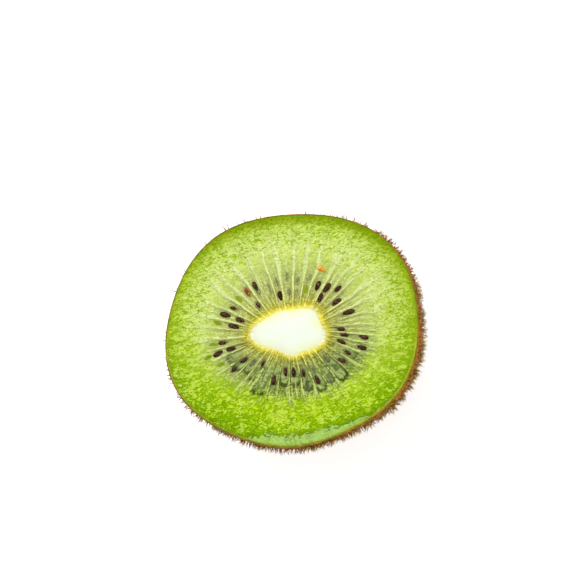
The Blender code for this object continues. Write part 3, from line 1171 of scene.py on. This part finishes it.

# %% [markdown]
# The pattern decides between the two tissues. In the chambers it is made of rays, fibres and flecks,
# and outside them of the wet grain, whose pale grains are partly painted reflections of the light and
# grow towards the top of the picture as painted light. The rays run out unevenly into the grain, and
# the highest grains get painted glints, lighter still.

# %% Pattern of the flesh
def inner_pattern(share, upwards, ray, wet, curds):
    """Pale tissue against deep among the chambers, and the lines of the rays."""
    lines = ray["Ray"].at_least(ray["Strand"] * 0.8)
    broken = curds["Grain"].between(0.36, 0.5, upwards.between(-0.3, 0.3, 0.3, 0.7), 1.0)
    lines = lines * broken.at_least(share.between(0.12, 0.04))
    flecks = wet["Fine"].between(0.46, 0.58, -0.1, 0.25) + curds["Fine"].between(0.42, 0.58, -0.12, 0.3)
    inner = ray["Fibre"].between(0.4, 0.66) * 0.3 + flecks + lines
    return inner.at_least(0.0).at_most(1.0), lines


def outer_pattern(share, upwards, ray, wet, curds, patch):
    """Pale grains against deep tissue outside the chambers, partly painted reflections, and the painted
    glints.
    """
    # the pale share grows towards the top of the picture as painted light
    shift = upwards.between(-0.35, 0.45, -0.01, 0.075) + share.between(0.78, 0.97, 0.0, -0.035)
    shift = shift + patch * 0.3 + (curds["Grain"] - 0.5) * upwards.between(-0.2, 0.5, 0.8, 0.4)
    start = upwards.between(-0.4, 0.5, 0.475, 0.40)
    stop = upwards.between(-0.4, 0.5, 0.53, 0.60)
    value = wet["Grain"] + shift
    outer = value.between(start, stop) * 0.78 + wet["Fine"].between(0.44, 0.62, 0.0, 0.3)
    far_rays = ray["Ray"] * share.between(0.5, 0.78, 0.8, 0.0) * upwards.between(-0.5, 0.4)
    return outer.at_least(far_rays), (value - stop).between(0.02, 0.08)


def outside_chambers(share, upwards, ray):
    end = upwards.between(-0.6, 0.6) * 0.08 + 0.42 + (ray["Fibre"] - 0.5) * 0.75
    return share.between(end, end + upwards.between(-0.3, 0.3, 0.14, 0.3))


# %% [markdown]
# What lies in the chambers is painted over the tissues: on the lower side the rounded lobes with a
# painted shadow in the gaps between them, and everywhere the clear jelly, greyed partly as painted shade
# round each seed, the shades of hidden seeds, deeper on the lower side as painted shade, and the green
# pockets.

# %% In the chambers
def in_chambers(colour, speck, share, low_side, ray, curds, pattern, lines):
    tree = colour.tree
    lobe = (curds["Fine"] - 0.5) * 0.9 + ray["Lobe"]
    low = low_side.between(0.3, 0.7) * share.between(0.13, 0.22) * (1.0 - lines * 0.8)
    # painted shadow in the gaps between the lobes
    colour = (lobe.between(0.62, 0.82) * lobe.between(1.4, 1.0) * low * 0.9).mix(colour, LOBE_GAP_SHADOW)
    body = curds["Grain"].between(0.44, 0.54).mix(LOBE_SHADE, LOBE_COLOUR)
    colour = (lobe.between(0.75, 0.6) * low * 0.85).mix(colour, body)

    # the jelly's grey tint is partly painted shade round each seed
    colour = (painted(tree, "jelly") * (1.0 - pattern) * 0.35).mix(colour, JELLY_AND_SHADE_TINT)
    # hidden seeds shade the flesh more on the lower side, as painted shade
    cover = speck * 0.6 + low_side.between(0.3, 0.7, 0.3, 0.6)
    hidden = painted(tree, "sunken") * cover.at_most(1.0) * ray["Strand"].between(0.0, 1.0, 1.0, 0.4)
    colour = hidden.mix(colour, SEED_TINT)
    green = painted(tree, "pocket") * curds["Fine"].between(0.25, 0.45) * 0.95
    return green.mix(colour, POCKET_COLOUR)


# %% [markdown]
# The tissues themselves get darker fibres and specks near the core, and painted shade on the lower side.
# The map's share is made uneven before the ramps read it, so that their colours meet in ragged edges
# and the corners of the core push them outwards.

# %% Tissues of the flesh
def tissues(share, uneven_share, below, outside, ray, off_core, low_side, speck):
    """The colours of the pale and of the deep tissue."""
    pale, deep = ramp(uneven_share, PALE_TISSUE), ramp(uneven_share, DEEP_TISSUE)
    dark = ray["Fibre"].between(0.47, 0.36) * share.between(0.5, 0.25) * off_core * 0.8
    deep = dark.mix(deep, DARK_FIBRE, "MULTIPLY")
    dots = share.between(0.48, 0.3) * off_core * low_side.between(0.0, 0.6, 0.4, 0.85) * (1.0 - speck)
    deep = dots.mix(deep, DARK_SPECK, "MULTIPLY")
    # painted shade: on the lower side both tissues are multiplied darker
    pale = below.mix(pale, outside.mix(*PALE_IN_PAINTED_SHADE), "MULTIPLY")
    return pale, below.mix(deep, outside.mix(*DEEP_IN_PAINTED_SHADE), "MULTIPLY")


def touched_up(colour, share, upwards, low_side, glint, off_core, ray, wet, curds):
    """The painted glints on the grain, painted shade along the rays' flanks, the green flecks and the darker
    top rim.
    """
    # painted glints on the highest grains, mostly on the lower side
    colour = (glint * low_side.between(0.0, 0.7, 0.2, 0.85)).mix(colour, PAINTED_GLINT_COLOUR)
    # painted shade along both flanks of each raised ray
    painted_flank_shade = ray["Ray"].between(0.0, 0.2) * ray["Ray"].between(0.6, 0.25) * off_core
    painted_flank_shade = painted_flank_shade * curds["Fine"].between(0.44, 0.58) * share.between(0.5, 0.3) * 0.8
    colour = painted_flank_shade.mix(colour, PAINTED_FLANK_SHADE, "MULTIPLY")
    flecks = (wet["Grain"] - share.between(0.45, 0.95, 0.36, 0.46)).between(0.03, 0.0)
    flecks = flecks * share.between(0.4, 0.55) * low_side.between(0.8, 0.2) * 0.9
    colour = flecks.mix(colour, FLECK_COLOUR)
    return (upwards.between(0.3, 0.85) * share.between(0.84, 0.97)).mix(colour, TOP_RIM, "MULTIPLY")


# %% [markdown]
# The wet band is laid over the finished colours, with a darker outline along its ragged inner edge;
# its pale grey-green is a painted reflection of the light on the smooth juice. Last comes the thin light
# line where the flesh meets the skin on the lower side.

# %% Wet band and rim line
def with_band(colour, share, low_side, rightwards, curds):
    """The colour with band and rim line, and where the band is."""
    edge = (curds["Grain"] - 0.5) * 0.22 + painted(colour.tree, "band")
    band = edge.between(0.0, 0.006) * share.between(0.985, 0.972)
    colour = (edge.between(-0.045, -0.004) * edge.between(0.006, 0.0) * 0.75).mix(colour, BAND_EDGE)
    # the band's colour is a painted reflection of the light on the juice
    band_reflection = curds["Fine"].between(0.42, 0.6).mix(BAND_REFLECTION_COLOUR, BAND_REFLECTION_STREAKS)
    colour = (band * 0.92).mix(colour, band_reflection)
    line = share.between(0.957, 0.98) * low_side.between(0.1, 0.4) * rightwards.between(0.1, 0.7, 0.6, 0.9)
    return (line * curds["Fine"].between(0.42, 0.58, 0.45, 1.0)).mix(colour, RIM_LINE), band


# %% [markdown]
# The finish of the flesh puts these together. Its relief comes from the same grain and lines, lower in
# the chambers and nearly smooth in the band. Wet flesh is glossy, but a white sky would wash out its
# deep greens, so its shine is weak and tinted.

# %% Flesh finish
FLESH_RELIEF = 0.46 * MM
FLESH_LOOK = {
    "Specular IOR Level": 0.06,
    "Specular Tint": (0.8, 1.0, 0.0, 1.0),
    "Subsurface Weight": 0.05,
    "Subsurface Radius": (1.0, 1.0, 0.4),
    "Subsurface Scale": 0.35 * MM,
}


def ray_widths(share, low_side, curds):
    """The rays are broad at the core, slim beyond it, and broader again on their way out."""
    broader = share.between(0.0, 0.08, 0.38, 0.0).at_least(share.between(0.05, 0.5, 0.16, 0.24))
    return broader * curds["Grain"].between(0.36, 0.62, 0.6, 1.3) * low_side.between(0.3, 1.0, 1.0, 0.7)


def flesh_finish():
    material, tree, shader = new_finish("green_flesh")
    locule, share = map_numbers(tree)
    place = object_place(tree)
    ways = (0.0, math.pi / 2.0, PAINTED_SHADE_SIDE)
    rightwards, upwards, shadewards = (place.reach(picture_way(way)) for way in ways)
    low_side = upwards.between(0.35, -0.7)
    wet, curds = use_group(grain, place, GRAIN_SIZE), use_group(grain, place, CURD_SIZE)
    patch = place.cloud(1.0 / PATCH_SIZE, 2.0, 0.6) - 0.5
    speck = place.cloud(1.0 / SPECK_SIZE, 2.0, 0.6).between(0.42, 0.58)
    ray = use_group(rays, locule, share, ray_widths(share, low_side, curds))

    inner, lines = inner_pattern(share, upwards, ray, wet, curds)
    outer, glint = outer_pattern(share, upwards, ray, wet, curds, patch)
    outside = outside_chambers(share, upwards, ray)
    pattern = outside.blend(inner, outer)
    off_core = share.between(0.0, 0.05)
    # where painted shade darkens the tissues: the lower side of the face
    below = outside.blend(shadewards.between(-0.03, 0.46), low_side) * share.between(0.0, 0.1)

    ragged = wet["Fine"] * 0.4 + ray["Fibre"] - 0.7
    ragged = ragged * share.between(0.0, 0.03, 0.03, 0.16) * share.between(0.25, 0.08)
    corner = painted(tree, "corner") * share.between(0.03, 0.14, 1.0, 0.2)
    uneven_share = share + ragged - corner
    pale, deep = tissues(share, uneven_share, below, outside, ray, off_core, low_side, speck)
    colour = pattern.mix(deep, pale)
    colour = touched_up(colour, share, upwards, low_side, glint * outside, off_core, ray, wet, curds)
    colour = uneven_share.between(-0.012, -0.024).mix(colour, CORE_WHITE)
    colour = in_chambers(colour, speck, share, low_side, ray, curds, pattern, lines)
    colour, band = with_band(colour, share, low_side, rightwards, curds)

    height = (wet["Fine"] * 0.4 + wet["Grain"] + curds["Grain"] * 0.8) * share.between(0.2, 0.55, 0.25, 1.0)
    height = height * band.between(0.0, 1.0, 1.0, 0.15) + lines * 0.35
    height = height * uneven_share.between(-0.028, -0.006, 0.5, 1.0)
    dull = (wet["Fine"] * 0.25 + 0.2) * band.between(0.0, 1.0, 1.0, 0.6)
    relief = height.bumps(FLESH_RELIEF)
    feed_all(shader, {"Base Color": colour, "Roughness": dull, "Normal": relief, **FLESH_LOOK})
    print("the flesh's finish has", len(tree.nodes), "nodes")
    return material


wear(flesh_finish(), flesh)

# %% [markdown]
# Finish of the core.
#
# The core is nearly white and turns yellow at its edge, where it reaches out in fine teeth between
# the chambers. The teeth are the rays of the flesh carried on into the core.

# %% Core finish
CORE_COLOURS = (
    (0.00, 236, 243, 230), (0.50, 236, 243, 225), (0.80, 236, 243, 206),
    (0.93, 246, 243, 164), (1.00, 250, 240, 112),
)
CORE_GAPS = (
    (0.00, 236, 243, 230), (0.50, 236, 243, 224), (0.78, 236, 243, 200),
    (0.91, 246, 240, 136), (1.00, 228, 212, 62),
)
CORE_RAYS = 0.26  # how broad the teeth are, in chambers
CORNER_SPREAD = 7.0  # radii of the core that its yellow edge gives way, for each unit of corner
CORE_SOFT, CORE_RELIEF_GRAIN, CORE_FINE = 420.0, 900.0, 1600.0  # noises, in turns to the metre
CORE_RELIEF = 0.08 * MM
CORE_LOOK = {
    "Subsurface Weight": 0.3,
    "Subsurface Radius": (1.0, 1.0, 0.7),
    "Subsurface Scale": 1.5 * MM,
}


def core_finish():
    material, tree, shader = new_finish("pale_core")
    locule, inwards = map_numbers(tree)
    place = object_place(tree)
    ray = use_group(rays, locule, inwards, CORE_RAYS)
    soft, fine = place.cloud(CORE_SOFT, 3.0, 0.6), place.cloud(CORE_FINE, 2.0, 0.6)
    tooth = ray["Fibre"].between(0.4, 0.66) * 0.35 + ray["Ray"].at_least(ray["Strand"] * 0.6)
    wavering = (soft - 0.5) * 0.14 + (fine - 0.5) * 0.22 + (inwards + 1.0)
    wavering = wavering - painted(tree, "corner") * CORNER_SPREAD
    colour = tooth.at_most(1.0).mix(ramp(wavering, CORE_GAPS), ramp(wavering, CORE_COLOURS))
    dull = soft.between(0.3, 0.7, 0.3, 0.45)
    relief = place.cloud(CORE_RELIEF_GRAIN, 3.0, 0.6).bumps(CORE_RELIEF)
    feed_all(shader, {"Base Color": colour, "Roughness": dull, "Normal": relief, **CORE_LOOK})
    return material


wear(core_finish(), core)

# %% [markdown]
# Finish of the skin and its fur.
#
# The skin is dull and leathery, mottled in olive, brown and rust, with small lighter specks. The
# mottling is a group, because the hairs, the seeds and the crumb of skin are uneven in the same way:
# it takes three colours and a size and gives one uneven colour back.

# %% Mottling
def mottle_recipe(place, size, dark, middle, light):
    place = place.scaled(size)
    small = place.cloud(1.0, 4.0, 0.65, 0.4)
    colour = place.cloud(0.25, 3.0, 0.6).between(0.35, 0.62).mix(dark, middle)
    return small.between(0.5, 0.66).mix(colour, light), small


mottle = new_group(
    "mottle",
    {"Place": "Vector", "Size": "Float", "Dark": "Color", "Middle": "Color", "Light": "Color"},
    {"Color": "Color", "Height": "Float"},
    mottle_recipe,
)


def mottled_finish(name, size, colours, roughness, depth, over=None, tint=(1.0, 1.0, 1.0, 1.0), shine=0.15):
    """An uneven finish. over, if it is given, paints more over the mottled colour."""
    material, tree, shader = new_finish(name)
    uneven = use_group(mottle, object_place(tree), size, *colours)
    colour = over(uneven["Color"]) if over else uneven["Color"]
    dull = uneven["Height"].between(0.3, 0.7, *roughness)
    feed_all(shader, {"Base Color": colour, "Roughness": dull, "Normal": uneven["Height"].bumps(depth)})
    feed_all(shader, {"Specular IOR Level": shine, "Specular Tint": tint})
    return material


# %% [markdown]
# Where the knife has cut the skin, its fresh edge is a thin line of orange and olive. The skin's map
# counts from the cut downwards, so that the fresh edge is where it is near nothing. The hairs have
# light tips, the open seeds are dark and glossy, with painted glints as the lightest of their mottled
# colours, and the unripe seed and the crumb are orange.

# %% Skin, fur and seed finishes
SKIN_COLOURS = (screen(100, 62, 14), screen(154, 97, 20), screen(212, 136, 34))
SKIN_OLIVE = screen(124, 107, 16)
CUT_EDGE = screen(190, 132, 40)
CUT_EDGE_OLIVE = screen(132, 116, 26)
CUT_EDGE_REACH = (0.003, 0.012)
OLIVE_PATCHES, EDGE_PATCHES = 150.0, 500.0  # noises, in turns to the metre
FUR_COLOURS = (screen(96, 64, 14), screen(148, 105, 28), screen(198, 154, 66))
FUR_TIP = screen(206, 182, 104)
# the lightest of the seeds' three colours is painted glints
SEED_COLOURS_AND_GLINTS = (screen(30, 14, 9), screen(54, 30, 21), screen(124, 88, 70))
SEED_TINGE = (1.0, 0.7, 0.4, 1.0)
BROWN_SEED_COLOURS = (screen(100, 54, 22), screen(168, 94, 42), screen(220, 150, 92))
CRUMB_COLOURS = (screen(232, 148, 34), screen(246, 184, 60), screen(252, 222, 130))


def light_tips(colour):
    return painted(colour.tree, "tip").between(0.35, 1.0).mix(colour, FUR_TIP)


def olive_with_cut_edge(colour):
    place = object_place(colour.tree)
    colour = place.cloud(OLIVE_PATCHES, 3.0, 0.6).between(0.46, 0.7, 0.0, 0.5).mix(colour, SKIN_OLIVE)
    edge = place.cloud(EDGE_PATCHES).between(0.42, 0.58).mix(CUT_EDGE_OLIVE, CUT_EDGE)
    return map_numbers(colour.tree)[1].between(*CUT_EDGE_REACH, 1.0, 0.0).mix(colour, edge)


# The pieces, their finish, its size in millimetres, colours, dullness and relief, and what else it has
for pieces, name, size, colours, roughness, depth, more in (
    ([skin], "kiwi_skin", 0.45, SKIN_COLOURS, (0.75, 0.95), 0.2, {"over": olive_with_cut_edge}),
    (fur, "kiwi_fur", 0.5, FUR_COLOURS, (0.6, 0.8), 0.02, {"over": light_tips}),
    ([seeds], "dark_seed", 0.35, SEED_COLOURS_AND_GLINTS, (0.25, 0.4), 0.04, {"tint": SEED_TINGE}),
    ([brown_seed], "brown_seed", 0.5, BROWN_SEED_COLOURS, (0.3, 0.4), 0.04, {"shine": 0.2}),
    ([crumb], "orange_crumb", 0.4, CRUMB_COLOURS, (0.5, 0.7), 0.04, {"shine": 0.2}),
):
    wear(mottled_finish(name, size * MM, colours, roughness, depth * MM, **more), *pieces)
print(len(bpy.data.materials), "materials are in use")

# %% [markdown]
# Light and floor.
#
# The half lies on a white table that glows a little, so that the shadow on it stays faint.

# %% Floor
FLOOR_SIZE = 3.0
FLOOR_GLOW = 0.5
FLOOR_DROP = 0.02 * MM
WHITE = (1.0, 1.0, 1.0, 1.0)

pick()
bpy.ops.mesh.primitive_plane_add(size=FLOOR_SIZE, location=(0.0, 0.0, -FLOOR_DROP))
floor = named("floor")
floor_finish, tree, shader = new_finish("pale_floor")
feed_all(shader, {"Base Color": (0.88, 0.88, 0.88, 1.0), "Roughness": 0.9})
feed_all(shader, {"Emission Color": WHITE, "Emission Strength": FLOOR_GLOW})
wear(floor_finish, floor)

# %% [markdown]
# The light is soft daylight. One broad lamp stands beyond the upper left of the picture, low enough to
# pick out the wet grain, a second one fills from the right, and a bright even sky keeps the shadows
# light.

# %% Lamps and sky
SKY = 0.64


def lamp(name, azimuth, height, distance, size, power):
    """A square soft lamp that looks at the fruit. azimuth counts from the right of the picture."""
    made = in_scene(name, set_up(bpy.data.lights.new(name, "AREA"), shape="SQUARE", size=size, energy=power))
    rise = math.radians(height)
    way = (picture_way(math.radians(azimuth)) * math.cos(rise)).to_3d() + Vector((0.0, 0.0, math.sin(rise)))
    made.location = Vector((0.0, 0.0, HALF_HEIGHT)) + way * distance
    made.rotation_euler = way.to_track_quat("Z", "Y").to_euler()
    print(name, "stands at", [round(side, 2) for side in made.location], "m")


lamp("key", 112.0, 46.0, 0.6, 0.36, 2.3)
lamp("fill", -12.0, 26.0, 0.7, 0.4, 1.1)
world = bpy.data.worlds.new("sky")
world.use_nodes = True
feed_all(world.node_tree.nodes["Background"], {"Color": WHITE, "Strength": SKY})
bpy.context.scene.world = world
bpy.context.scene.view_settings.view_transform = "Standard"

# %% [markdown]
# Handing over.
#
# Every piece rides on the one body of the half, and where a piece takes the place of an imported solid,
# that solid is hidden.

# %% Pieces on the body of the half
for piece, slot, node in (
    (flesh, "flesh", "flesh"),
    (core, "core", "core"),
    (skin, "skin", "flesh"),
    (seeds, "seed", "flesh"),
    (brown_seed, "seed", "flesh"),
    (crumb, "skin", None),
    *((coat, "skin", None) for coat in fur),
):
    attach(piece, "root")
    if node:
        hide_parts(node)
